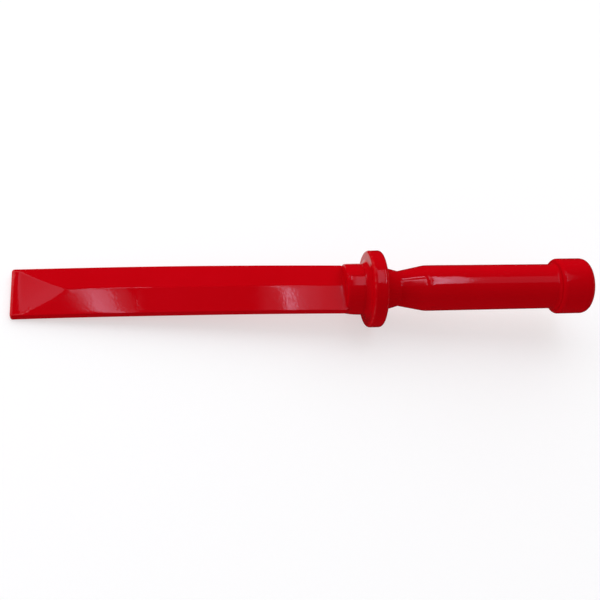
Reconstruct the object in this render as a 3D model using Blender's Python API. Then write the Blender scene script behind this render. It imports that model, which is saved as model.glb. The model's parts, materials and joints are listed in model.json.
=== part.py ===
"""Hive tool: a plastic scraper bar with a round hand guard and a hollow grip.

The blade's bolster and tang are one moulding with the bar. The guard is threaded onto
the flat tang, the grip is pressed over the tang and clamps the guard, and a butt cap
closes the grip. Lengths are in metres. The tool's own axis runs from the tip (0) to
the butt along +X. The whole tool is then laid down as it rests: on the heel of the
blade's tip and on the rim of the guard.
"""

import math

import bmesh
import bpy
from mathutils import Matrix, Vector

# Whole tool
LENGTH = 0.280
FIT_GAP = 0.0003  # clearance all round between two pieces that touch
SEGMENTS = 64  # facets round every turned piece
ARC_STEPS = 6  # facets along a quarter-round edge
MERGE = 0.00001

# Blade: a flat-backed bar with a low central ridge
BLADE_WIDTH = 0.0256
EDGE_LAND = 0.0033  # height of the flat side edges
RIDGE_RISE = 0.0017  # from the side edges up to the ridge
BACK_Z = -0.0010  # flat back, below the tool's axis
BLADE_ROOT = 0.158  # where the bar runs into the bolster
NOSE_ROUND = 0.0010
TIP_FLAT = 0.0035  # length of the level strip behind the nose
BEVEL_END = 0.0252  # where the end bevel meets the ridge
EDGE_EASE = 0.0003

# Bolster: round block between bar and guard
BOLSTER_RADIUS = 0.0124
BOLSTER_START = 0.1550
BOLSTER_ROUND = 0.0008

# Tang: flat tongue that carries the guard and the grip
TANG_WIDTH = 0.0100
TANG_THICKNESS = 0.0070
TANG_END = 0.2000
TANG_EASE = 0.0008

# Hand guard
GUARD_FRONT = 0.1662
GUARD_THICKNESS = 0.0074
GUARD_RADIUS = 0.01865
GUARD_ROUND = 0.0016

# Grip
NECK_FRONT_RADIUS = 0.0104
NECK_FILLET = 0.0015
NECK_RADIUS = 0.0085  # at the waist, the thinnest place
WAIST = 0.1819
CONE_END = 0.1949
GRIP_RADIUS = 0.0112
GRIP_REAR_RADIUS = 0.01105
GRIP_WALL = 0.0020
BORE_END = 0.1860  # depth of the slot that holds the tang
BORE_CONE = 0.0030  # length over which the slot opens into the hollow
SHOULDER_FILLET = 0.0015

# Butt cap and the spigot that holds it
CAP_FRONT = 0.2624
CAP_RADIUS = 0.0138
CAP_FRONT_ROUND = 0.0020
CAP_BACK_ROUND = 0.0040
CAP_END_WALL = 0.0025
SPIGOT_LENGTH = 0.0125
SNAP_RISE = 0.0004  # bead round the spigot and groove in the cap
SNAP_HALF_WIDTH = 0.0012
SNAP_PLACE = 0.0065  # from the shoulder to the middle of the bead
LEAD_IN = 0.0008

RED = (0.62, 0.004, 0.012, 1.0)


def clear_scene():
    for old in list(bpy.data.objects):
        bpy.data.objects.remove(old, do_unlink=True)


def plastic(name):
    material = bpy.data.materials.new(name)
    material.use_nodes = True
    shader = material.node_tree.nodes["Principled BSDF"]
    shader.inputs["Base Color"].default_value = RED
    shader.inputs["Roughness"].default_value = 0.25
    return material


def arc(centre, radius, start, end, steps=ARC_STEPS):
    """Points of an arc in the (x, r) plane; angles in degrees, 90 points outwards."""
    points = []
    for i in range(steps + 1):
        angle = math.radians(start + (end - start) * i / steps)
        x = centre[0] + radius * math.cos(angle)
        r = centre[1] + radius * math.sin(angle)
        points.append((x, r))
    return points


def object_from(mesh_data, name):
    bmesh.ops.remove_doubles(mesh_data, verts=mesh_data.verts, dist=MERGE)
    bmesh.ops.recalc_face_normals(mesh_data, faces=mesh_data.faces)
    mesh = bpy.data.meshes.new(name)
    mesh_data.to_mesh(mesh)
    mesh_data.free()
    piece = bpy.data.objects.new(name, mesh)
    bpy.context.collection.objects.link(piece)
    return piece


def turned(name, outline):
    """A solid turned about +X from a closed (x, r) outline, which may touch the axis."""
    bm = bmesh.new()
    rings = []
    for x, r in outline:
        count = SEGMENTS if r > 0.0 else 1
        angles = [2.0 * math.pi * i / SEGMENTS for i in range(count)]
        rings.append([bm.verts.new((x, r * math.cos(a), r * math.sin(a))) for a in angles])
    for a, b in zip(rings, rings[1:] + rings[:1]):
        for i in range(SEGMENTS):
            j = (i + 1) % SEGMENTS
            if len(a) > 1 and len(b) > 1:
                bm.faces.new((a[i], a[j], b[j], b[i]))
            elif len(b) > 1:
                bm.faces.new((a[0], b[j], b[i]))
            elif len(a) > 1:
                bm.faces.new((a[i], a[j], b[0]))
    return object_from(bm, name)


def flat_bar(name, start, end, width, thickness, ease):
    """A square-cornered bar about +X whose long edges are eased."""
    bm = bmesh.new()
    bmesh.ops.create_cube(bm, size=1.0)
    size = Matrix.Diagonal((end - start, width, thickness, 1.0))
    place = Matrix.Translation(((start + end) / 2.0, 0.0, 0.0))
    bmesh.ops.transform(bm, matrix=place @ size, verts=bm.verts)
    long_edges = [e for e in bm.edges if abs((e.verts[0].co - e.verts[1].co).x) > width]
    bmesh.ops.bevel(bm, geom=long_edges, offset=ease, segments=2, profile=0.5, affect="EDGES")
    return object_from(bm, name)


def combine(target, tool, operation):
    """Applies one exact Boolean to target and removes tool."""
    tool.hide_render = True
    tool.display_type = "WIRE"
    step = target.modifiers.new("combine", "BOOLEAN")
    step.operation = operation
    step.solver = "EXACT"
    step.object = tool
    graph = bpy.context.evaluated_depsgraph_get()
    result = bpy.data.meshes.new_from_object(target.evaluated_get(graph))
    target.modifiers.clear()
    target.data = result
    bpy.data.objects.remove(tool, do_unlink=True)


def scraper_bar():
    """The bar: flat back, side lands, two shallow roof faces, end bevel and blunt nose."""
    half = BLADE_WIDTH / 2.0
    land_z = BACK_Z + EDGE_LAND
    ridge_z = land_z + RIDGE_RISE
    bm = bmesh.new()
    back = [bm.verts.new((x, y, BACK_Z)) for x in (0.0, BLADE_ROOT) for y in (-half, half)]
    nose = [bm.verts.new((0.0, y, land_z)) for y in (-half, half)]
    strip = [bm.verts.new((TIP_FLAT, y, land_z)) for y in (-half, half)]
    root = [bm.verts.new((BLADE_ROOT, y, land_z)) for y in (-half, half)]
    apex = bm.verts.new((BEVEL_END, 0.0, ridge_z))
    ridge = bm.verts.new((BLADE_ROOT, 0.0, ridge_z))
    bm.faces.new((back[0], back[1], back[3], back[2]))
    bm.faces.new((back[0], back[1], nose[1], nose[0]))
    bm.faces.new((nose[0], nose[1], strip[1], strip[0]))
    bm.faces.new((strip[0], strip[1], apex))
    bm.faces.new((strip[0], apex, ridge, root[0]))
    bm.faces.new((strip[1], apex, ridge, root[1]))
    bm.faces.new((back[0], back[2], root[0], strip[0], nose[0]))
    bm.faces.new((back[1], back[3], root[1], strip[1], nose[1]))
    bm.faces.new((back[2], back[3], root[1], ridge, root[0]))
    bmesh.ops.recalc_face_normals(bm, faces=bm.faces)
    nose_edges = [e for e in bm.edges if all(v.co.x == 0.0 for v in e.verts)]
    across = [e for e in nose_edges if e.verts[0].co.z == e.verts[1].co.z]
    bmesh.ops.bevel(bm, geom=across, offset=NOSE_ROUND, segments=3, profile=0.5, affect="EDGES")
    lengthways = [e for e in bm.edges if on_long_corner(e, half)]
    bmesh.ops.bevel(bm, geom=lengthways, offset=EDGE_EASE, segments=1, profile=0.5, affect="EDGES")
    return object_from(bm, "bar")


def on_long_corner(edge, half):
    """True for the bar's four outer corners that run along its length."""
    a, b = (v.co for v in edge.verts)
    along = abs(a.x - b.x) > TIP_FLAT / 4.0
    outside = abs(abs(a.y) - half) < MERGE and abs(abs(b.y) - half) < MERGE
    return along and outside and abs(a.z - b.z) < MERGE


def make_blade():
    blade = scraper_bar()
    blade.name = "blade"
    rear = GUARD_FRONT - FIT_GAP
    rim = BOLSTER_RADIUS - BOLSTER_ROUND
    outline = [(BOLSTER_START, 0.0)]
    outline += arc((BOLSTER_START + BOLSTER_ROUND, rim), BOLSTER_ROUND, 180, 90)
    outline += [(rear, BOLSTER_RADIUS), (rear, 0.0)]
    combine(blade, turned("bolster", outline), "UNION")
    tang = flat_bar("tang", rear - TANG_THICKNESS / 2.0, TANG_END, TANG_WIDTH, TANG_THICKNESS, TANG_EASE)
    combine(blade, tang, "UNION")
    return blade


def tang_slot(start, end):
    """The room the tang needs, with the fit clearance on every side."""
    grow = 2.0 * FIT_GAP
    return flat_bar("slot", start, end, TANG_WIDTH + grow, TANG_THICKNESS + grow, TANG_EASE)


def make_guard():
    front = GUARD_FRONT
    rear = GUARD_FRONT + GUARD_THICKNESS
    rim = GUARD_RADIUS - GUARD_ROUND
    outline = [(front, 0.0)]
    outline += arc((front + GUARD_ROUND, rim), GUARD_ROUND, 180, 90)
    outline += arc((rear - GUARD_ROUND, rim), GUARD_ROUND, 90, 0)
    outline += [(rear, 0.0)]
    guard = turned("hand_guard", outline)
    combine(guard, tang_slot(front - GUARD_ROUND, rear + GUARD_ROUND), "DIFFERENCE")
    return guard


def spigot_outline(shoulder, radius, grow):
    """The cap joint's outer line from the shoulder back: spigot with its snap bead."""
    bead = shoulder + SNAP_PLACE
    return [
        (shoulder, radius + grow),
        (bead - SNAP_HALF_WIDTH, radius + grow),
        (bead, radius + grow + SNAP_RISE),
        (bead + SNAP_HALF_WIDTH, radius + grow),
    ]


def make_grip():
    front = GUARD_FRONT + GUARD_THICKNESS + FIT_GAP
    shoulder = CAP_FRONT
    spigot_end = shoulder + SPIGOT_LENGTH
    hollow = GRIP_REAR_RADIUS - GRIP_WALL
    outline = [(front, 0.0)]
    fillet_centre = (front + NECK_FILLET, NECK_FRONT_RADIUS + NECK_FILLET)
    outline += arc(fillet_centre, NECK_FILLET, 180, 270)
    outline += [(WAIST, NECK_RADIUS)]
    outline += [(CONE_END, GRIP_RADIUS)]
    fillet_centre = (shoulder - SHOULDER_FILLET, GRIP_REAR_RADIUS + SHOULDER_FILLET)
    outline += arc(fillet_centre, SHOULDER_FILLET, 270, 360)
    outline += spigot_outline(shoulder, GRIP_REAR_RADIUS, 0.0)
    outline += [(spigot_end - LEAD_IN, GRIP_REAR_RADIUS)]
    outline += [(spigot_end, GRIP_REAR_RADIUS - LEAD_IN)]
    outline += [(spigot_end, hollow)]
    outline += [(CONE_END + GRIP_WALL, hollow)]
    outline += [(BORE_END, NECK_RADIUS - GRIP_WALL)]
    outline += [(BORE_END - BORE_CONE, 0.0)]
    grip = turned("grip", outline)
    combine(grip, tang_slot(front - GRIP_WALL, BORE_END + BORE_CONE), "DIFFERENCE")
    return grip


def make_cap():
    front = CAP_FRONT + FIT_GAP
    floor = LENGTH - CAP_END_WALL
    front_rim = CAP_RADIUS - CAP_FRONT_ROUND
    back_rim = CAP_RADIUS - CAP_BACK_ROUND
    outline = arc((front + CAP_FRONT_ROUND, front_rim), CAP_FRONT_ROUND, 180, 90)
    outline += arc((LENGTH - CAP_BACK_ROUND, back_rim), CAP_BACK_ROUND, 90, 0)
    outline += [(LENGTH, 0.0)]
    outline += [(floor, 0.0)]
    outline += [(floor, GRIP_REAR_RADIUS + FIT_GAP)]
    groove = spigot_outline(CAP_FRONT, GRIP_REAR_RADIUS, FIT_GAP)
    groove[0] = (front, groove[0][1])
    outline += reversed(groove)
    return turned("butt_cap", outline)


def rest_angle():
    """How far the tip dips when the tool lies on its nose and on the guard's rim."""
    nose = Vector((NOSE_ROUND, BACK_Z + NOSE_ROUND))
    rim = Vector((GUARD_FRONT + GUARD_ROUND, GUARD_ROUND - GUARD_RADIUS))
    reach = rim - nose
    return math.atan2(-reach.y, reach.x) + math.asin((GUARD_ROUND - NOSE_ROUND) / reach.length)


def shade(piece):
    piece.data.materials.clear()
    piece.data.materials.append(plastic(piece.name))
    piece.data.polygons.foreach_set("use_smooth", [True] * len(piece.data.polygons))
    piece.data.set_sharp_from_angle(angle=math.radians(35.0))


def lay_down(pieces):
    """Puts the tool at rest, centred on the origin with its lowest points at z = 0."""
    tool = bpy.data.objects.new("hive_tool", None)
    bpy.context.collection.objects.link(tool)
    tool.rotation_euler = (0.0, -rest_angle(), 0.0)
    turn = Matrix.Rotation(-rest_angle(), 4, "Y")
    corners = [turn @ v.co for piece in pieces for v in piece.data.vertices]
    low_x = min(c.x for c in corners)
    high_x = max(c.x for c in corners)
    low_z = min(c.z for c in corners)
    tool.location = (-(low_x + high_x) / 2.0, 0.0, -low_z)
    for piece in pieces:
        piece.parent = tool


def main():
    clear_scene()
    pieces = [make_blade(), make_guard(), make_grip(), make_cap()]
    for piece in pieces:
        shade(piece)
    lay_down(pieces)


main()
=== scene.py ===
"""Looks of the hive tool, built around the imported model.

All lengths are in metres. The tool's own axes are used for its shape: X from the tip of
the blade (0) to the butt, Y across the blade, Z out of its ridged side. tool_axes() reads
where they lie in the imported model.
"""

import json
import math

import bmesh
import bpy
import numpy as np
from mathutils import Matrix, Vector, noise


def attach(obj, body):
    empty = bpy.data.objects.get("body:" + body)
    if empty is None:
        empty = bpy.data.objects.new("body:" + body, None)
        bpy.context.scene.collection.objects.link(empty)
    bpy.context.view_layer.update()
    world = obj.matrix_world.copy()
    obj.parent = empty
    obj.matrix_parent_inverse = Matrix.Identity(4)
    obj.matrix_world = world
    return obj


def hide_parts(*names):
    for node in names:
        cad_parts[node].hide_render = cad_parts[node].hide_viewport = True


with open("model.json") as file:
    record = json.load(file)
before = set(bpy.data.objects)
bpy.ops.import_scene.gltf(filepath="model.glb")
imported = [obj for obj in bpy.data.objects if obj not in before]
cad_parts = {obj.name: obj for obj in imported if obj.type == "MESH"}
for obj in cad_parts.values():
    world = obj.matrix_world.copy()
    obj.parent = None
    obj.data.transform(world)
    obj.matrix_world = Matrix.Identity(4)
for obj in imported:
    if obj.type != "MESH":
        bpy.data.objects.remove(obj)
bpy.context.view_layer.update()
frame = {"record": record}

MM = 0.001
BODY = "root"

# Whole tool
LENGTH = 280.0 * MM
SEAM = 0.03 * MM  # hairline left between two pieces

# Blade
HALF_WIDTH = 12.8 * MM
TIP_NARROWING = 0.25 * MM  # how much less than that each side is at the tip
FULL_WIDTH_FROM = 90.0 * MM
BOW = 0.33 * MM  # sideways bow: the middle lies this far to +Y, the tip as far to -Y
BOW_MIDDLE = 77.0 * MM
BACK_Z = -1.0 * MM
LAND_Z = 2.3 * MM
RIDGE_RISE = 1.7 * MM
STRIP_RISE = 0.17 * MM  # how far the nose strip stands above the land
STRIP_END = 3.5 * MM
BEVEL_END = 25.2 * MM
BEVEL_SLOPE = 0.069
STRIP_ROLL = 0.005  # sideways tilt of the strip, and how it grows along the end face
ROLL_GROWTH = 2.4  # per metre
NOSE_ROUND = 1.0 * MM
NOSE_CORNER = 1.2 * MM
EDGE_ROUND = 0.35 * MM
CREST_ROUND = 0.35 * MM
CREASE_BLEND = 0.035 * MM
STRIP_BLEND = 0.03 * MM
# Dents in the ridged side: x, y, length, width, depth in millimetres
NICKS = (
    (9.3, -9.1, 1.1, 0.45, 0.030),
    (7.6, -10.7, 0.7, 0.35, 0.050),
    (5.8, -11.5, 0.8, 0.30, 0.050),
)
NICK_SKEW = 0.42  # how far they lie turned from the tool's length

# Bolster
BOLSTER_FACE = 155.0 * MM
BOLSTER_FRONT_RADIUS = 12.25 * MM
BOLSTER_BACK_DROP = 0.65 * MM  # how much less the front radius is on the flat side
BOLSTER_RADIUS = 12.4 * MM
BOLSTER_TAPER_END = 159.5 * MM
BOLSTER_BACK_TAPER = 4.0 * MM  # how much longer the taper is on the flat side
BACK_TURN = 0.94  # how quickly the ridged side's form gives way to the flat side's
BOLSTER_REAR = 166.2 * MM
BOLSTER_ROUND = 0.7 * MM
ROOT_FILLET = 0.8 * MM
ROOT_REACH = 1.4 * MM  # how much further forward the blend starts at the bar's edges
ROOT_START = BOLSTER_FACE - ROOT_FILLET - ROOT_REACH
SINK_LEAD = 0.25  # share of the blend in which the bar's corners already sink
SHED_END = 156.8 * MM  # where they have sunk into the bolster

# Guard
GUARD_FRONT = 166.2 * MM
GUARD_REAR = 173.6 * MM
GUARD_RADIUS = 18.65 * MM
GUARD_ROUND = 1.6 * MM
GUARD_LIP = 2.7 * MM  # radius of the hub fillet in front of it

# Grip
NECK_FRONT_RADIUS = 10.4 * MM
NECK_FILLET = 1.5 * MM
NECK_FILLET_TURN = 82.0  # degrees
NECK_RADIUS = 8.5 * MM
NECK_WAIST = 181.9 * MM
WAIST_BLEND = 0.03 * MM
CONE_END = 195.3 * MM
CONE_BLEND = 0.08 * MM
GRIP_RADIUS = 11.2 * MM
GRIP_REAR_RADIUS = 11.05 * MM
SHOULDER = 262.4 * MM
SHOULDER_FILLET = 1.5 * MM

# Butt cap
CAP_RADIUS = 13.8 * MM
CAP_FRONT_ROUND = 2.0 * MM
CAP_BACK_ROUND = 4.0 * MM
GATE_RADIUS = 1.6 * MM  # round mark left by the mould's gate
GATE_DEPTH = 0.12 * MM
GATE_EDGE = 0.3 * MM

# Moulding marks
PARTING_RISE = 0.05 * MM
PARTING_HALF = 0.13 * MM
WAVE = 0.02 * MM
WAVE_SCALE = 55.0
SMALL_WAVE = 0.4  # a second wave's height and pitch, as shares of the first's
SMALL_WAVE_SCALE = 2.7

# Rubbing by use, and a highlight painted lighter on the blade's nose: how far each reaches from
# an edge, and how strong it is, from 0 to 1
# the nose is drawn lighter both for rubbing and as a painted highlight of its thin lit edge
NOSE_WEAR_AND_SHEEN = 1.3 * MM
NOSE_SHEEN_SKEW = 0.45 * MM  # how much further the nose's painted highlight reaches at the +Y corner, where more light falls
EDGE_WEAR = 0.4 * MM
EDGE_WEAR_LEVEL = 0.12
EDGE_WEAR_TIP_LEVEL = 0.35  # added to that at the tip
EDGE_WEAR_TIP = 14.0 * MM
CREASE_WEAR = 0.3 * MM
CREASE_WEAR_LEVEL = 0.75
CREASE_WEAR_TIP = 13.0 * MM
NICK_WEAR_DEPTH = 0.035 * MM  # a dent this deep is rubbed all over
RIM_WEAR_LEVEL = 0.5
RIM_WEAR_PLACE = 0.4  # the rubbed line's place on a rounded rim, as a share of its radius
GUARD_WEAR = 0.6 * MM
CAP_WEAR = 1.2 * MM

# Fineness of the blade's mesh
OUTER_STEPS = 26  # points from the land edge to the crease, each side
INNER_STEPS = 10  # points from the crease to the ridge line, each side
INNER_CROWDING = 1.6  # how they draw together towards the ridge
CREASE_POINTS = (0.9, 0.5, 0.25, 0.1)  # millimetres either side of a crease
RIDGE_BAND = 0.45 * MM  # the points of a crease keep this far from the ridge line
LAND_BAND = 0.3 * MM  # and this far from the land edge
SIDE_STEPS = 5
CORNER_STEPS = 5
BACK_STEPS = 60
NOSE_RINGS = 8
NOSE_END_RINGS = (1.35, 1.7)  # millimetres from the tip
STRIP_RINGS = (-1.4, -1.1, -0.8, -0.5, -0.25, 0.0, 0.25, 0.5, 0.8, 1.15)  # from STRIP_END
BEVEL_RINGS = 54
BEVEL_RINGS_FROM = STRIP_END + 1.5 * MM
BEVEL_RINGS_TO = BEVEL_END - 1.6 * MM
APEX_RINGS = (-1.1, -0.7, -0.4, -0.15, 0.1, 0.4, 0.8, 1.4)  # from BEVEL_END
BODY_RINGS = 44
BODY_RINGS_FROM = BEVEL_END + 4.0 * MM
BODY_RINGS_TO = ROOT_START - 1.0 * MM
FILLET_RINGS = 8
FACE_SHARES = (0.25, 0.5, 0.75)
RIM_RINGS = 6
BOLSTER_RINGS = 14

# Fineness of the turned pieces' mesh
AROUND = 180
PARTING_ANGLES = (-1.4, -0.9, -0.5, -0.2, 0.0, 0.2, 0.5, 0.9, 1.4)  # degrees
PARTING_BAND = 1.8  # degrees from the parting that the even angles keep out of
NECK_RINGS = 52
NECK_RINGS_TO = CONE_END + 3.0 * MM
BARREL_RINGS = 40

# Red plastic
RED = (0.495, 0.0001, 0.0030, 1.0)
LIGHT_RED = (0.560, 0.0003, 0.0050, 1.0)
# pale red of rubbed plastic, which also paints the nose's highlight
RUBBED_AND_SHEEN_RED = (0.66, 0.048, 0.050, 1.0)
TONE_NOISE = (38.0, 4.0)  # scale and detail
GRAIN_NOISE = (1150.0, 0.0)
RUBBED_NOISE = (420.0, 4.0)
SCRATCH_NOISE = (30.0, 3.0)
SCRATCH_STRETCH = (1.0, 34.0, 34.0)
RUBBED_FROM = 0.85  # rubbing, the nose's painted highlight and noise together, above which a spot shows
RUBBED_GAIN = 1.6
RUBBED_COLOUR_SHARE = 0.7
TONE_ROUGHNESS = 0.02
SCRATCH_ROUGHNESS = 0.05
RUBBED_ROUGHNESS = 0.22
SCRATCH_DEPTH = 0.25  # beside the grain's
BUMP_STRENGTH = 0.028
BUMP_DISTANCE = 0.0002
PLASTIC_IOR = 1.5

# Camera, in the tool's axes
CAMERA_ROLL = math.radians(32.1)  # between the sight line and the blade's own upright
CAMERA_FOOT = 52.8 * MM  # where the sight line square to the axis meets it
CAMERA_REACH = 470.4 * MM
CAMERA_AIM = 133.8 * MM
CAMERA_DROP = 0.0100  # radians
CAMERA_TWIST = 0.0156
FOCAL = 995.65 / 600.0  # focal length over picture width
SENSOR = 36.0

# Floor and surroundings
FLOOR_SIZE = 6.0
FLOOR_PALE = 0.50
FLOOR_ROUGHNESS = 0.9
FLOOR_GLOW = 0.52
WORLD_LEVEL = 0.38
WORLD_MIRRORED = 0.01  # what shiny surfaces see of it
WORLD_SEEN = 1.0

# Large soft lights that light the tool but are not mirrored in it
KEY_ANGLE = 78.0  # degrees above the sight line
KEY_REACH = 1.8
KEY_SIZE = (4.4, 3.2)
KEY_LEVEL = 1.14
FILL_PLACE = (-1.5, 0.0, 0.7)  # from the tool's middle
FILL_SIZE = (1.6, 1.0)
FILL_LEVEL = 1.3
END_ON = 0.8  # a light whose way to the tool lies along X by more than this faces an end

# Pale card beside the bolster, seen only as a reflection
CARD_PLACE = (155.0 * MM, 34.0 * MM, -18.4 * MM)
CARD_SIZE = (0.050, 0.040)
CARD_LEVEL = 0.55

# Ceiling lights: from and to along X in metres, from and to in degrees above the sight
# line, brightness, slant in degrees, and their distance from the tool's axis
CEILING_TINT = (1.0, 0.87, 1.18)
CEILING = (
    # mirrored in the end bevel
    (-0.620, -0.480, 50.0, 76.0, 0.30, 0.0, 2.000),
    (-0.480, -0.440, 50.0, 76.0, 0.36, 0.0, 2.000),
    (-0.440, -0.405, 50.0, 76.0, 0.43, 0.0, 2.000),
    (-0.405, -0.380, 50.0, 76.0, 0.50, 0.0, 2.000),
    (-0.380, -0.310, 50.0, 76.0, 0.58, 0.0, 2.000),
    # in the blade behind the bevel
    (-0.164, -0.138, 46.0, 58.0, 0.12, 32.0, 2.012),
    (-0.142, -0.118, 46.0, 58.0, 0.45, 32.0, 2.009),
    (-0.124, -0.094, 46.0, 58.0, 1.05, 32.0, 2.006),
    (-0.048, 0.006, 42.0, 58.0, 2.00, 17.0, 2.000),
    (0.004, 0.024, 44.0, 58.0, 0.42, 17.0, 2.004),
    (0.024, 0.044, 44.0, 58.0, 0.19, 17.0, 2.004),
    # in the cone of the grip
    (-0.060, 0.002, 14.0, 45.0, 0.04, 0.0, 2.020),
    (0.002, 0.010, 14.0, 45.0, 0.30, 0.0, 2.020),
    (0.010, 0.018, 14.0, 45.0, 0.60, 0.0, 2.020),
    (0.018, 0.026, 14.0, 45.0, 0.70, 0.0, 2.020),
    (0.026, 0.034, 14.0, 45.0, 1.30, 0.0, 2.020),
    (0.034, 0.056, 14.0, 45.0, 2.40, 0.0, 2.020),
    # in the blade up to the bolster
    (0.370, 0.390, 42.0, 58.0, 0.14, 0.0, 2.000),
    (0.390, 0.412, 42.0, 58.0, 0.26, 0.0, 2.000),
    (0.412, 0.426, 42.0, 58.0, 0.40, 5.0, 2.004),
    (0.424, 0.431, 42.0, 58.0, 0.90, 8.0, 2.002),
    (0.430, 0.440, 42.0, 58.0, 5.00, 8.0, 2.000),
    (0.439, 0.446, 42.0, 58.0, 1.60, 8.0, 2.002),
    (0.445, 0.470, 42.0, 58.0, 0.88, 4.0, 2.004),
    (0.470, 0.495, 42.0, 58.0, 0.68, 0.0, 2.000),
    (0.495, 0.525, 42.0, 58.0, 0.50, 0.0, 2.000),
    (0.525, 0.600, 42.0, 58.0, 0.31, 0.0, 2.000),
    # in the bolster
    (0.480, 0.550, 17.0, 42.0, 0.22, 0.0, 2.000),
    (0.550, 0.600, 17.0, 42.0, 0.58, 0.0, 2.000),
    (0.600, 0.720, 17.0, 58.0, 0.80, 0.0, 2.000),
    # in the barrel of the grip
    (0.805, 0.832, 15.0, 58.0, 1.50, 0.0, 2.000),
    (0.832, 0.850, 15.0, 58.0, 2.80, 0.0, 2.000),
    (0.850, 0.872, 15.0, 58.0, 4.10, 0.0, 2.000),
    (0.872, 0.934, 20.0, 57.0, 2.20, 0.0, 2.000),
    (0.934, 0.952, 21.0, 55.0, 0.90, 0.0, 2.000),
    (0.952, 1.200, 20.0, 53.0, 0.23, 0.0, 2.000),
    # in the crest of the ridge
    (-0.060, 0.110, 58.6, 63.6, 3.60, 0.0, 2.000),
    (0.410, 0.500, 58.6, 61.6, 2.20, 0.0, 2.000),
)


def tool_axes():
    """The tool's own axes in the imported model, from the record's two flat faces."""
    mounts = {m["name"]: m for m in frame["record"]["mounts"]}
    along = Vector(mounts["strike_face"]["axis"]).normalized()
    up = -Vector(mounts["blade_back"]["axis"]).normalized()
    across = up.cross(along)
    tip = Vector(mounts["strike_face"]["pos_m"]) - LENGTH * along
    axes = Matrix((along, across, up)).transposed().to_4x4()
    return Matrix.Translation(tip) @ axes


TOOL = tool_axes()


def smooth_min(a, b, k):
    """The lower of a and b, rounded where they meet; k is how far it dips below them."""
    h = np.clip(0.5 + 0.5 * (b - a) / (4.0 * k), 0.0, 1.0)
    return b + (a - b) * h - 4.0 * k * h * (1.0 - h)


def smooth_max(a, b, k):
    return -smooth_min(-a, -b, k)


def ease(t):
    """From 0 to 1 as t is, but starting and ending level."""
    return t * t * (3.0 - 2.0 * t)


def near(distance, reach):
    """1 at no distance, falling off to about a third at reach."""
    return math.exp(-((distance / reach) ** 2))


# ---------------------------------------------------------------- blade's shape


def nose_inset(x, radius):
    """How far a rounded end of the given radius draws in at x."""
    if x >= radius:
        return 0.0
    return radius - math.sqrt(max(radius * radius - (radius - x) ** 2, 0.0))


def nicks(x, y):
    """Depth of the small dents that use has left along the working end."""
    depth = 0.0
    for nick_x, nick_y, long, wide, deep in NICKS:
        right = x - nick_x * MM
        over = y - nick_y * MM
        along = (right + NICK_SKEW * over) / (long * MM)
        across = (over - NICK_SKEW * right) / (wide * MM)
        depth = depth + deep * MM * np.exp(-(along**2) - across**2)
    return depth


def top_height(x, y):
    """Height of the ridged side at x, y, without the nose rounding."""
    away = np.sqrt(np.square(y) + CREST_ROUND**2) - CREST_ROUND
    roof = LAND_Z + RIDGE_RISE * (1.0 - away / HALF_WIDTH)
    strip = LAND_Z + STRIP_RISE + STRIP_ROLL * y
    bevel = strip + (BEVEL_SLOPE + ROLL_GROWTH * y) * (x - STRIP_END)
    end = smooth_max(strip, bevel, STRIP_BLEND)
    return smooth_min(roof, end, CREASE_BLEND) - nicks(x, y)


def half_width(x):
    share = min(x / FULL_WIDTH_FROM, 1.0)
    return HALF_WIDTH - TIP_NARROWING * (1.0 - ease(share))


def bow(x):
    """Sideways place of the bar's middle at x."""
    return BOW * (1.0 - 2.0 * ((x - BOW_MIDDLE) / BOW_MIDDLE) ** 2)


def crease_at(x, side):
    """Distance from the middle to the crease between roof and end faces, on one side."""
    past = max(x - STRIP_END, 0.0)
    rise = STRIP_RISE + BEVEL_SLOPE * past
    roll = STRIP_ROLL + ROLL_GROWTH * past
    y = (RIDGE_RISE - rise) / (RIDGE_RISE / HALF_WIDTH + roll * side)
    return min(max(y, 0.0), HALF_WIDTH)


# ---------------------------------------------------------------- rubbing, and the nose's painted highlight


def blade_wear_and_sheen(co):
    side = 1.0 if co.y > 0.0 else -1.0
    sideways = co.y - bow(co.x)
    off = abs(sideways)
    # painted highlight: the nose's lighter band stands partly for rubbing and partly for light
    # on its thin rounded edge, stronger towards +Y
    nose = near(co.x, NOSE_WEAR_AND_SHEEN + NOSE_SHEEN_SKEW * co.y / HALF_WIDTH)
    edge = crease = 0.0
    if co.x < BOLSTER_FACE:
        edge = EDGE_WEAR_LEVEL + EDGE_WEAR_TIP_LEVEL * near(co.x, EDGE_WEAR_TIP)
        edge *= near(HALF_WIDTH - off, EDGE_WEAR)
    if co.x < BEVEL_END and co.z > LAND_Z:
        crease = CREASE_WEAR_LEVEL * near(off - crease_at(co.x, side), CREASE_WEAR)
        crease *= near(co.x, CREASE_WEAR_TIP)
        crease = max(crease, min(nicks(co.x, sideways) / NICK_WEAR_DEPTH, 1.0))
    return max(nose, edge, crease)


def rim_wear(co, inside, radius, rounding, reach):
    """Rubbing of a rounded rim, at a point that lies inside the end face by that much."""
    if math.hypot(co.y, co.z) <= radius - rounding:
        return 0.0
    return RIM_WEAR_LEVEL * near(inside - RIM_WEAR_PLACE * rounding, reach)


def wear_and_sheen_at(name, co):
    """How much handling has rubbed the surface at a point of the named piece, 0 to 1, with the
    painted highlight on the blade's nose counted in.
    """
    if name == "scraper_blade":
        return blade_wear_and_sheen(co)
    if name == "guard_disc":
        inside = min(co.x - GUARD_FRONT, GUARD_REAR - co.x)
        return rim_wear(co, inside, GUARD_RADIUS, GUARD_ROUND, GUARD_WEAR)
    if name == "end_cap":
        return rim_wear(co, LENGTH - co.x, CAP_RADIUS, CAP_BACK_ROUND, CAP_WEAR)
    return 0.0


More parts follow.
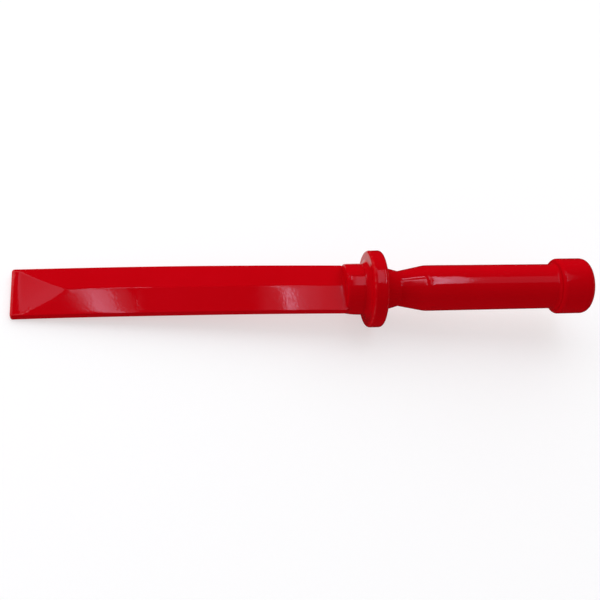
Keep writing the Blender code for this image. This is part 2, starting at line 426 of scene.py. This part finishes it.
def finish_mesh(name, bm):
    """An object from the mesh, with its rubbing and the nose's painted highlight stored on it,
    in its place.
    """
    bmesh.ops.recalc_face_normals(bm, faces=bm.faces)
    mesh = bpy.data.meshes.new(name)
    bm.to_mesh(mesh)
    bm.free()
    wear_and_sheen = mesh.attributes.new("wear_and_sheen", "FLOAT", "POINT")
    wear_and_sheen.data.foreach_set("value", [wear_and_sheen_at(name, v.co) for v in mesh.vertices])
    mesh.transform(TOOL)
    piece = bpy.data.objects.new(name, mesh)
    bpy.context.collection.objects.link(piece)
    mesh.polygons.foreach_set("use_smooth", [True] * len(mesh.polygons))
    return piece


# ---------------------------------------------------------------- blade's mesh


def resample(values, count, start, end):
    """count values from start towards end, spaced as values are."""
    if len(values) < 2:
        return list(np.linspace(start, end, count + 1)[:-1])
    old = np.linspace(0.0, 1.0, len(values))
    span = np.array(values)
    span = (span - span[-1]) / (span[0] - span[-1])
    new = np.interp(np.linspace(0.0, 1.0, count + 1), old, span)
    return list(end + (start - end) * new[:-1])


def half_top(x, edge, side):
    """Distances from the middle, from the land edge inwards to the ridge, on one side."""
    crease = min(max(crease_at(x, side), RIDGE_BAND), edge - LAND_BAND)
    room_out = (edge - crease) * 0.5
    room_in = crease * 0.5
    fine_out = [crease + min(c * MM, room_out) for c in CREASE_POINTS]
    fine_in = [crease - min(c * MM, room_in) for c in reversed(CREASE_POINTS)]

    # even in angle about the tool's axis, as the bolster's rings need them
    angle_edge = math.atan2(LAND_Z, HALF_WIDTH)
    turn = np.linspace(0.0, 1.0, OUTER_STEPS + 1)
    angles = angle_edge + (math.pi / 2.0 - angle_edge) * turn
    spread = (LAND_Z + RIDGE_RISE) / (np.tan(angles) + RIDGE_RISE / HALF_WIDTH)
    spread = (spread - spread[-1]) / (spread[0] - spread[-1])
    outer = crease + (edge - crease) * spread
    outer = [v for v in outer[:-1] if v > fine_out[0]]
    outer = resample(outer, OUTER_STEPS - 2, edge, fine_out[0])

    steps = np.linspace(1.0, 0.0, INNER_STEPS + 1)[1:]
    inner = list(fine_in[-1] * steps**INNER_CROWDING)
    return outer + fine_out + [crease] + fine_in + inner


def back_steps(edge):
    """Distances from the middle across the flat back, even in angle about the axis."""
    limit = math.atan2(edge, -BACK_Z)
    angles = np.linspace(-limit, limit, BACK_STEPS + 1)
    return -BACK_Z * np.tan(angles)


def corner_arc(side, edge, base, up, angles):
    """Points round a long edge of the bar: side and up say which one, as 1 or -1."""
    return [
        (side * (edge + EDGE_ROUND * math.cos(a)), base + up * EDGE_ROUND * math.sin(a))
        for a in angles
    ]


def side_points(y, start, end):
    shares = np.linspace(0.0, 1.0, SIDE_STEPS + 1)[1:-1]
    return [(y, start + (end - start) * t) for t in shares]


def blade_section(x):
    """One ring of the bar at x, as (y, z) pairs, starting at the +Y land's upper edge."""
    half = half_width(x) - nose_inset(x, NOSE_CORNER)
    lift = nose_inset(x, NOSE_ROUND)
    edge = half - EDGE_ROUND
    right = half_top(x, edge, 1.0)
    left = half_top(x, edge, -1.0)
    ys = np.array(right + [-v for v in reversed(left[:-1])])
    zs = top_height(x, ys) - lift
    low = BACK_Z + lift
    foot = low + EDGE_ROUND
    high_right = zs[0] - EDGE_ROUND
    high_left = zs[-1] - EDGE_ROUND
    outwards = np.radians(np.linspace(90.0, 0.0, CORNER_STEPS + 1))
    inwards = outwards[::-1]
    ring = list(zip(ys, zs))
    ring += corner_arc(-1.0, edge, high_left, 1.0, outwards[1:])
    ring += side_points(-half, high_left, foot)
    ring += corner_arc(-1.0, edge, foot, -1.0, inwards)
    ring += [(y, low) for y in back_steps(edge)[1:-1]]
    ring += corner_arc(1.0, edge, foot, -1.0, outwards)
    ring += side_points(half, foot, high_right)
    ring += corner_arc(1.0, edge, high_right, 1.0, inwards[:-1])
    return ring


def blade_stations():
    """Where the bar's rings lie: close together at the nose, the strip and the apex."""
    turns = np.radians(np.linspace(0.0, 90.0, NOSE_RINGS))
    nose = [NOSE_ROUND * (1.0 - math.cos(a)) for a in turns]
    nose += [d * MM for d in NOSE_END_RINGS]
    strip = [STRIP_END + d * MM for d in STRIP_RINGS]
    bevel = list(np.linspace(BEVEL_RINGS_FROM, BEVEL_RINGS_TO, BEVEL_RINGS))
    apex = [BEVEL_END + d * MM for d in APEX_RINGS]
    body = list(np.linspace(BODY_RINGS_FROM, BODY_RINGS_TO, BODY_RINGS))
    return nose + strip + bevel + apex + body


def flat_side(unit):
    """0 on the ridged half of the bolster, rising to 1 towards the flat back."""
    return np.clip(0.5 - BACK_TURN * unit[:, 1], 0.0, 1.0)


def bolster_radius(x, back):
    """Outer radius of the bolster behind its rounded front edge."""
    length = BOLSTER_TAPER_END - BOLSTER_FACE + BOLSTER_BACK_TAPER * back
    share = np.clip((x - BOLSTER_FACE) / length, 0.0, 1.0)
    front = BOLSTER_FRONT_RADIUS - BOLSTER_BACK_DROP * back
    return front + (BOLSTER_RADIUS - front) * (1.0 - (1.0 - share) ** 2)


def sunk(x, reach):
    """How far the bar's corners have sunk at x, from 0 where they start to 1."""
    start = BOLSTER_FACE - SINK_LEAD * reach
    return ease(np.clip((x - start) / (SHED_END - start), 0.0, 1.0))


def ring_at(x, r, unit):
    return [(xi, u[0] * ri, u[1] * ri) for xi, u, ri in zip(x, unit, r)]


def root_rings(ring):
    """Rings from the bar into the round bolster: a hollow blend, the face, a rounded rim.

    Where the bar is wider than the bolster, its corners sink into it further back."""
    points = np.array(ring)
    radius = np.hypot(points[:, 0], points[:, 1])
    unit = points / radius[:, None]
    back = flat_side(unit)
    step = bolster_radius(BOLSTER_FACE, back) - radius
    share = np.clip(step / (ROOT_FILLET + BOLSTER_ROUND), 0.0, 1.0)
    over = np.maximum(-step, 0.0)
    reach = ROOT_FILLET + ROOT_REACH * (points[:, 0] / HALF_WIDTH) ** 2
    hollow = ROOT_FILLET * share
    rim = BOLSTER_ROUND * share
    low = radius + hollow
    high = radius + np.maximum(step, 0.0) - rim

    stages = []
    for a in np.radians(np.linspace(0.0, 90.0, FILLET_RINGS)):
        stages.append((-reach + reach * math.sin(a), radius + hollow * (1.0 - math.cos(a))))
    for t in FACE_SHARES:
        stages.append((np.zeros_like(radius), low + (high - low) * t))
    for a in np.radians(np.linspace(0.0, 90.0, RIM_RINGS)):
        stages.append((rim - rim * math.cos(a), high + rim * math.sin(a)))

    out = []
    for t, (x, r) in zip(np.linspace(0.0, 1.0, len(stages)), stages):
        plain = -reach + (reach + BOLSTER_ROUND) * t
        ahead = BOLSTER_FACE + share * x + (1.0 - share) * plain
        out.append(ring_at(ahead, r - over * sunk(ahead, reach), unit))
    start = BOLSTER_FACE + BOLSTER_ROUND
    behind = list(np.linspace(start, BOLSTER_REAR - GUARD_LIP, BOLSTER_RINGS)[1:])
    for x in behind + [BOLSTER_REAR - SEAM]:
        ahead = np.full_like(radius, x)
        rest = over * (1.0 - sunk(ahead, reach))
        out.append(ring_at(ahead, bolster_radius(x, back) + rest, unit))
    return out


def make_blade():
    """A closed skin over the bar's and the bolster's rings."""
    rings = []
    for x in blade_stations():
        rings.append([(x, y + bow(x), z) for y, z in blade_section(x)])
    rings += root_rings([(y + bow(ROOT_START), z) for y, z in blade_section(ROOT_START)])
    bm = bmesh.new()
    loops = [[bm.verts.new(p) for p in ring] for ring in rings]
    count = len(rings[0])
    for a, b in zip(loops, loops[1:]):
        for i in range(count):
            j = (i + 1) % count
            bm.faces.new((a[i], a[j], b[j], b[i]))
    bm.faces.new(loops[0])
    bm.faces.new(list(reversed(loops[-1])))
    return finish_mesh("scraper_blade", bm)


# ---------------------------------------------------------------- turned pieces


def arc(centre, radius, start, end, steps):
    """Outline points of an arc in the (x, r) plane; angles in degrees, 90 points outwards."""
    angles = np.radians(np.linspace(start, end, steps + 1))
    return [(centre[0] + radius * math.cos(a), centre[1] + radius * math.sin(a)) for a in angles]


def run_between(start, end, steps):
    """Evenly spaced outline points after start, up to and with end."""
    xs = np.linspace(start[0], end[0], steps + 1)[1:]
    rs = np.linspace(start[1], end[1], steps + 1)[1:]
    return list(zip(xs, rs))


def turning_angles():
    """Angles round a turned piece in degrees, from +Y towards +Z, close at the parting."""
    even = [360.0 * i / AROUND for i in range(AROUND)]
    angles = [a for a in even if min(a % 180.0, 180.0 - a % 180.0) > PARTING_BAND]
    angles += [side + d for side in (0.0, 180.0) for d in PARTING_ANGLES]
    return np.radians(sorted(a % 360.0 for a in angles))


def outline_normals(outline):
    """Outward unit normals of a closed outline run through with the solid on its right."""
    pts = np.array(outline)
    run = np.roll(pts, -1, axis=0) - np.roll(pts, 1, axis=0)
    length = np.maximum(np.hypot(run[:, 0], run[:, 1]), 1e-9)
    return np.stack([-run[:, 1], run[:, 0]], axis=1) / length[:, None]


def waviness(point):
    """Small slow unevenness of a moulded face, in metres."""
    place = point * WAVE_SCALE
    return WAVE * (noise.noise(place) + SMALL_WAVE * noise.noise(place * SMALL_WAVE_SCALE))


def moulding_rise(x, r, angle):
    """How far the parting line and the waves lift a turned piece's surface."""
    off = r * abs(math.sin(angle))
    parting = PARTING_RISE * math.exp(-((off / PARTING_HALF) ** 2))
    return parting + waviness(Vector((x, r * math.cos(angle), r * math.sin(angle))))


def turned(name, outer, rest):
    """A turned solid from its outer outline, which carries the moulding marks everywhere
    but at its two ends, and the rest of its outline, which has none."""
    outline = outer + rest
    angles = turning_angles()
    normals = outline_normals(outline)
    bm = bmesh.new()
    rings = []
    for i, ((x, r), normal) in enumerate(zip(outline, normals)):
        if r == 0.0:
            rings.append([bm.verts.new((x, 0.0, 0.0))])
            continue
        ring = []
        for a in angles:
            rise = moulding_rise(x, r, a) if 0 < i < len(outer) - 1 else 0.0
            xx = x + normal[0] * rise
            rr = r + normal[1] * rise
            ring.append(bm.verts.new((xx, rr * math.cos(a), rr * math.sin(a))))
        rings.append(ring)
    count = len(angles)
    for a, b in zip(rings, rings[1:] + rings[:1]):
        for i in range(count):
            j = (i + 1) % count
            if len(a) > 1 and len(b) > 1:
                bm.faces.new((a[i], a[j], b[j], b[i]))
            elif len(b) > 1:
                bm.faces.new((a[0], b[j], b[i]))
            elif len(a) > 1:
                bm.faces.new((a[i], a[j], b[0]))
    return finish_mesh(name, bm)


def make_guard():
    bore = BOLSTER_RADIUS + SEAM
    hub = GUARD_FRONT - GUARD_LIP
    rim = GUARD_RADIUS - GUARD_ROUND
    rear_round = GUARD_REAR - GUARD_ROUND
    outer = [(hub, bore)]
    outer += arc((hub, bore + GUARD_LIP), GUARD_LIP, 270, 360, steps=14)[1:]
    outer += run_between(outer[-1], (GUARD_FRONT, rim), steps=4)
    outer += arc((GUARD_FRONT + GUARD_ROUND, rim), GUARD_ROUND, 180, 90, steps=10)[1:]
    outer += run_between(outer[-1], (rear_round, GUARD_RADIUS), steps=5)
    outer += arc((rear_round, rim), GUARD_ROUND, 90, 0, steps=10)[1:]
    outer += run_between(outer[-1], (GUARD_REAR, NECK_FRONT_RADIUS), steps=6)
    inner = [(GUARD_REAR, 0.0), (GUARD_FRONT, 0.0), (GUARD_FRONT, bore)]
    return turned("guard_disc", outer, inner)


def grip_radius(x):
    """Outer radius of the grip between its two end fillets: two cones and the long taper."""
    fall = (NECK_FRONT_RADIUS - NECK_RADIUS) / (NECK_WAIST - GUARD_REAR - NECK_FILLET)
    rise = (GRIP_RADIUS - NECK_RADIUS) / (CONE_END - NECK_WAIST)
    taper = (GRIP_REAR_RADIUS - GRIP_RADIUS) / (SHOULDER - CONE_END)
    front = NECK_RADIUS - fall * (x - NECK_WAIST)
    cone = NECK_RADIUS + rise * (x - NECK_WAIST)
    body = GRIP_RADIUS + taper * (x - CONE_END)
    neck = smooth_max(front, cone, WAIST_BLEND)
    return float(smooth_min(neck, body, CONE_BLEND))


def make_grip():
    front = GUARD_REAR + SEAM
    neck = front + NECK_FILLET
    fillet = (neck, grip_radius(neck) + NECK_FILLET)
    outer = arc(fillet, NECK_FILLET, 180, 180 + NECK_FILLET_TURN, steps=9)
    rear_fillet = SHOULDER - SHOULDER_FILLET
    xs = list(np.linspace(neck, NECK_RINGS_TO, NECK_RINGS)[1:])
    xs += list(np.linspace(NECK_RINGS_TO, rear_fillet, BARREL_RINGS)[1:])
    outer += [(x, grip_radius(x)) for x in xs]
    centre = (rear_fillet, GRIP_REAR_RADIUS + SHOULDER_FILLET)
    outer += arc(centre, SHOULDER_FILLET, 270, 360, steps=10)[1:]
    inner = [(SHOULDER, 0.0), (front, 0.0)]
    return turned("grip_sleeve", outer, inner)


def make_cap():
    front = SHOULDER + SEAM
    front_rim = CAP_RADIUS - CAP_FRONT_ROUND
    back_rim = CAP_RADIUS - CAP_BACK_ROUND
    back_round = LENGTH - CAP_BACK_ROUND
    outer = arc((front + CAP_FRONT_ROUND, front_rim), CAP_FRONT_ROUND, 180, 90, steps=10)
    outer += run_between(outer[-1], (back_round, CAP_RADIUS), steps=8)
    outer += arc((back_round, back_rim), CAP_BACK_ROUND, 90, 0, steps=14)[1:]
    outer += run_between(outer[-1], (LENGTH, GATE_RADIUS + GATE_EDGE), steps=6)
    gate = [(LENGTH - GATE_DEPTH, GATE_RADIUS), (LENGTH - GATE_DEPTH, 0.0)]
    inner = [(front, 0.0)]
    return turned("end_cap", outer, gate + inner)


# ---------------------------------------------------------------- material


def red_nylon():
    """Glossy moulded plastic with a fine grain, faint scratches, rubbed edges and a painted
    highlight on the blade's nose.
    """
    material = bpy.data.materials.new("red_nylon")
    material.use_nodes = True
    tree = material.node_tree
    link = tree.links.new
    shader = tree.nodes["Principled BSDF"]
    place = tree.nodes.new("ShaderNodeTexCoord")

    def texture(scale_and_detail, stretch=(1.0, 1.0, 1.0)):
        scale, detail = scale_and_detail
        stretched = tree.nodes.new("ShaderNodeMapping")
        stretched.inputs["Scale"].default_value = stretch
        link(place.outputs["Object"], stretched.inputs["Vector"])
        made = tree.nodes.new("ShaderNodeTexNoise")
        made.inputs["Scale"].default_value = scale
        made.inputs["Detail"].default_value = detail
        link(stretched.outputs["Vector"], made.inputs["Vector"])
        return made.outputs["Fac"]

    def maths(operation, first, second, clamp=False):
        made = tree.nodes.new("ShaderNodeMath")
        made.operation = operation
        made.use_clamp = clamp
        for socket, value in zip(made.inputs, (first, second)):
            if isinstance(value, float):
                socket.default_value = value
            else:
                link(value, socket)
        return made.outputs["Value"]

    tone = texture(TONE_NOISE)
    grain = texture(GRAIN_NOISE)
    rubbed = texture(RUBBED_NOISE)
    scratches = texture(SCRATCH_NOISE, SCRATCH_STRETCH)

    wear_and_sheen = tree.nodes.new("ShaderNodeAttribute")
    wear_and_sheen.attribute_name = "wear_and_sheen"
    chance = maths("ADD", wear_and_sheen.outputs["Fac"], rubbed)
    rubbed_and_sheen_spots = maths("SUBTRACT", chance, RUBBED_FROM, clamp=True)
    rubbed_and_sheen_spots = maths("MULTIPLY", rubbed_and_sheen_spots, RUBBED_GAIN, clamp=True)

    colour = tree.nodes.new("ShaderNodeMix")
    colour.data_type = "RGBA"
    colour.inputs["A"].default_value = RED
    colour.inputs["B"].default_value = LIGHT_RED
    link(tone, colour.inputs["Factor"])
    rubbed_and_sheen_colour = tree.nodes.new("ShaderNodeMix")
    rubbed_and_sheen_colour.data_type = "RGBA"
    rubbed_and_sheen_colour.inputs["B"].default_value = RUBBED_AND_SHEEN_RED
    link(colour.outputs["Result"], rubbed_and_sheen_colour.inputs["A"])
    # the pale red marks rubbed spots and paints the highlight on the nose
    share = maths("MULTIPLY", rubbed_and_sheen_spots, RUBBED_COLOUR_SHARE)
    link(share, rubbed_and_sheen_colour.inputs["Factor"])
    link(rubbed_and_sheen_colour.outputs["Result"], shader.inputs["Base Color"])

    tone_rough = maths("MULTIPLY", tone, TONE_ROUGHNESS)
    scratch_rough = maths("MULTIPLY", scratches, SCRATCH_ROUGHNESS)
    rough = maths("ADD", tone_rough, scratch_rough)
    rough = maths("ADD", rough, maths("MULTIPLY", rubbed_and_sheen_spots, RUBBED_ROUGHNESS))
    link(rough, shader.inputs["Roughness"])

    bump = tree.nodes.new("ShaderNodeBump")
    bump.inputs["Strength"].default_value = BUMP_STRENGTH
    bump.inputs["Distance"].default_value = BUMP_DISTANCE
    relief = maths("ADD", grain, maths("MULTIPLY", scratches, SCRATCH_DEPTH))
    link(relief, bump.inputs["Height"])
    link(bump.outputs["Normal"], shader.inputs["Normal"])

    shader.inputs["IOR"].default_value = PLASTIC_IOR
    return material


# ---------------------------------------------------------------- studio


def sight_axes():
    """Square to the tool: from it along the sight line, and up in the picture."""
    away = Vector((0.0, -math.sin(CAMERA_ROLL), math.cos(CAMERA_ROLL)))
    up = Vector((0.0, math.cos(CAMERA_ROLL), math.sin(CAMERA_ROLL)))
    return away, up


def toward(angle):
    """Unit vector square to the tool, at an angle in degrees above the sight line."""
    away, up = sight_axes()
    a = math.radians(angle)
    return away * math.cos(a) + up * math.sin(a)


def swing(first, second, angle):
    """Two square directions turned together in their own plane, first away from second."""
    cos, sin = math.cos(angle), math.sin(angle)
    return first * cos - second * sin, second * cos + first * sin


def make_camera():
    away, up = sight_axes()
    eye = Vector((CAMERA_FOOT, 0.0, 0.0)) + CAMERA_REACH * away
    ahead = (Vector((CAMERA_AIM, 0.0, 0.0)) - eye).normalized()
    right = ahead.cross(up).normalized()
    up = right.cross(ahead)
    ahead, up = swing(ahead, up, CAMERA_DROP)
    right, up = swing(right, up, CAMERA_TWIST)
    turn = Matrix((right, up, -ahead)).transposed().to_4x4()
    data = bpy.data.cameras.new("camera")
    data.sensor_width = SENSOR
    data.lens = SENSOR * FOCAL
    data.clip_start = 0.01
    camera = bpy.data.objects.new("camera", data)
    camera.matrix_world = TOOL @ Matrix.Translation(eye) @ turn
    bpy.context.collection.objects.link(camera)
    bpy.context.scene.camera = camera


def panel(name, centre, target, size, level, glossy=True, diffuse=True, tint=(1.0, 1.0, 1.0)):
    """An area light of a given brightness at centre, facing target, both in the tool's axes;
    its width lies along X, or along Y where it faces the tool from beyond an end."""
    width, height = size
    data = bpy.data.lights.new(name, "AREA")
    data.shape = "RECTANGLE"
    data.size = width
    data.size_y = height
    data.energy = level * width * height * math.pi
    data.color = tint
    lamp = bpy.data.objects.new(name, data)
    back = (centre - target).normalized()
    side = Vector((0.0, 1.0, 0.0)) if abs(back.x) > END_ON else Vector((1.0, 0.0, 0.0))
    side = (side - back * side.dot(back)).normalized()
    turn = Matrix((side, back.cross(side), back)).transposed().to_4x4()
    lamp.matrix_world = TOOL @ Matrix.Translation(centre) @ turn
    lamp.visible_camera = False
    lamp.visible_glossy = glossy
    lamp.visible_diffuse = diffuse
    bpy.context.collection.objects.link(lamp)
    return lamp


def make_floor():
    """A light table: a pale sheet lit a little from below, which keeps the shadow faint."""
    bpy.ops.mesh.primitive_plane_add(size=FLOOR_SIZE, location=(0.0, 0.0, 0.0))
    floor = bpy.context.object
    floor.name = "floor"
    material = bpy.data.materials.new("floor")
    material.use_nodes = True
    shader = material.node_tree.nodes["Principled BSDF"]
    shader.inputs["Base Color"].default_value = (FLOOR_PALE, FLOOR_PALE, FLOOR_PALE, 1.0)
    shader.inputs["Roughness"].default_value = FLOOR_ROUGHNESS
    shader.inputs["Emission Color"].default_value = (1.0, 1.0, 1.0, 1.0)
    shader.inputs["Emission Strength"].default_value = FLOOR_GLOW
    floor.data.materials.append(material)
    floor.visible_glossy = False


def make_world():
    """White surroundings: one brightness for lighting, one for mirroring, one to look at."""
    world = bpy.data.worlds.new("studio")
    world.use_nodes = True
    bpy.context.scene.world = world
    tree = world.node_tree
    background = tree.nodes["Background"]
    background.inputs["Color"].default_value = (1.0, 1.0, 1.0, 1.0)
    path = tree.nodes.new("ShaderNodeLightPath")
    mirrored = tree.nodes.new("ShaderNodeMapRange")
    mirrored.inputs["To Min"].default_value = WORLD_LEVEL
    mirrored.inputs["To Max"].default_value = WORLD_MIRRORED
    tree.links.new(path.outputs["Is Glossy Ray"], mirrored.inputs["Value"])
    seen = tree.nodes.new("ShaderNodeMix")
    seen.inputs["B"].default_value = WORLD_SEEN
    tree.links.new(path.outputs["Is Camera Ray"], seen.inputs["Factor"])
    tree.links.new(mirrored.outputs["Result"], seen.inputs["A"])
    tree.links.new(seen.outputs["Result"], background.inputs["Strength"])


def make_lights():
    for i, (x_low, x_high, low, high, level, slant, reach) in enumerate(CEILING):
        foot = Vector(((x_low + x_high) / 2.0, 0.0, 0.0))
        centre = foot + reach * toward((low + high) / 2.0)
        height = 2.0 * reach * math.tan(math.radians((high - low) / 2.0))
        size = (x_high - x_low, height)
        lamp = panel("ceiling_%02d" % i, centre, foot, size, level, tint=CEILING_TINT)
        lamp.matrix_world = lamp.matrix_world @ Matrix.Rotation(math.radians(slant), 4, "Z")
    middle = Vector((LENGTH / 2.0, 0.0, 0.0))
    key = middle + KEY_REACH * toward(KEY_ANGLE)
    panel("key", key, middle, KEY_SIZE, KEY_LEVEL, glossy=False)
    fill = middle + Vector(FILL_PLACE)
    panel("fill_left", fill, middle, FILL_SIZE, FILL_LEVEL, glossy=False)
    card = Vector(CARD_PLACE)
    panel("card", card, card + Vector((0.0, 0.0, 1.0)), CARD_SIZE, CARD_LEVEL, diffuse=False)


make_world()
make_floor()
make_lights()
make_camera()

nylon = red_nylon()
pieces = {
    "blade": make_blade(),
    "hand_guard": make_guard(),
    "grip": make_grip(),
    "butt_cap": make_cap(),
}
for cad_node, piece in pieces.items():
    piece.data.materials.append(nylon)
    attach(piece, BODY)
    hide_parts(cad_node)

bpy.context.scene.view_settings.view_transform = "Standard"
